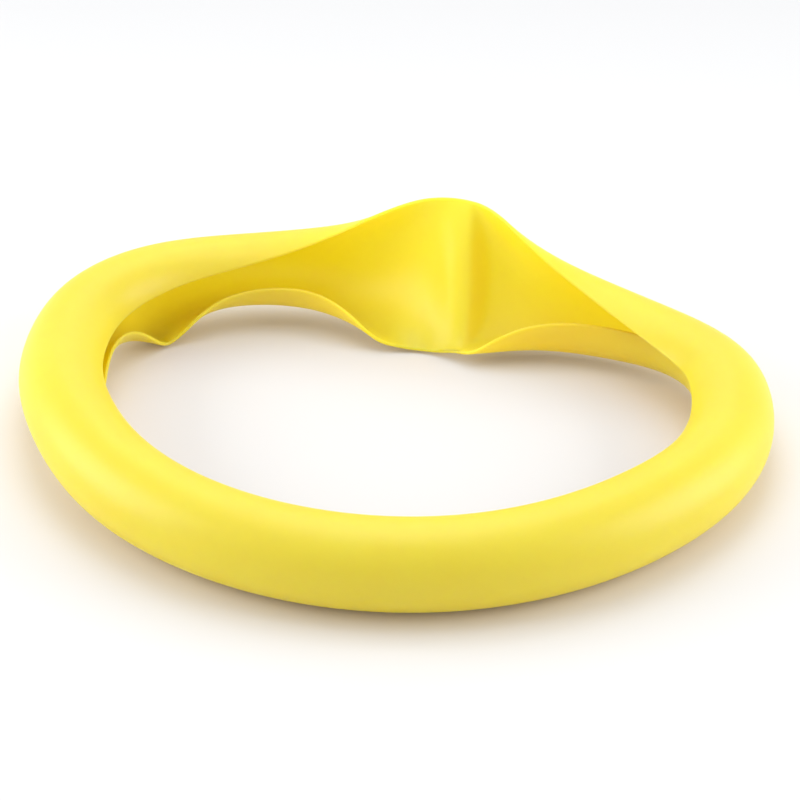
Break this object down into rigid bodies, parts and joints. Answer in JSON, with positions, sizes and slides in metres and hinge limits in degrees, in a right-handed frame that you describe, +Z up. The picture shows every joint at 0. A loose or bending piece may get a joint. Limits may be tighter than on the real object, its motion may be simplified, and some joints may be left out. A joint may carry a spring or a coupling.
{
  "type": "soft channel ring",
  "caption": "Soft seamless ring of C-section channel whose slot faces its centre, with one back stretch popped inside out into a tall crest.",
  "frame": {"origin": "middle of the underside, on the flat surface that the ring lies on, half-way along its overall length and width", "axes": "+Z up from the surface, +Y towards the popped crest at the back, +X to the right"},
  "size_m": [0.323, 0.2604, 0.0676],
  "materials": {
    "silicone": "matte"
  },
  "bodies": {
    "root": {"crest_ridge": "silicone", "front_channel": "silicone", "left_back_channel": "silicone", "left_channel": "silicone", "left_crest_flank": "silicone", "left_front_channel": "silicone", "lip_foot_channel": "silicone", "right_back_channel": "silicone", "right_channel": "silicone", "right_crest_flank": "silicone"}
  },
  "joints": []
}
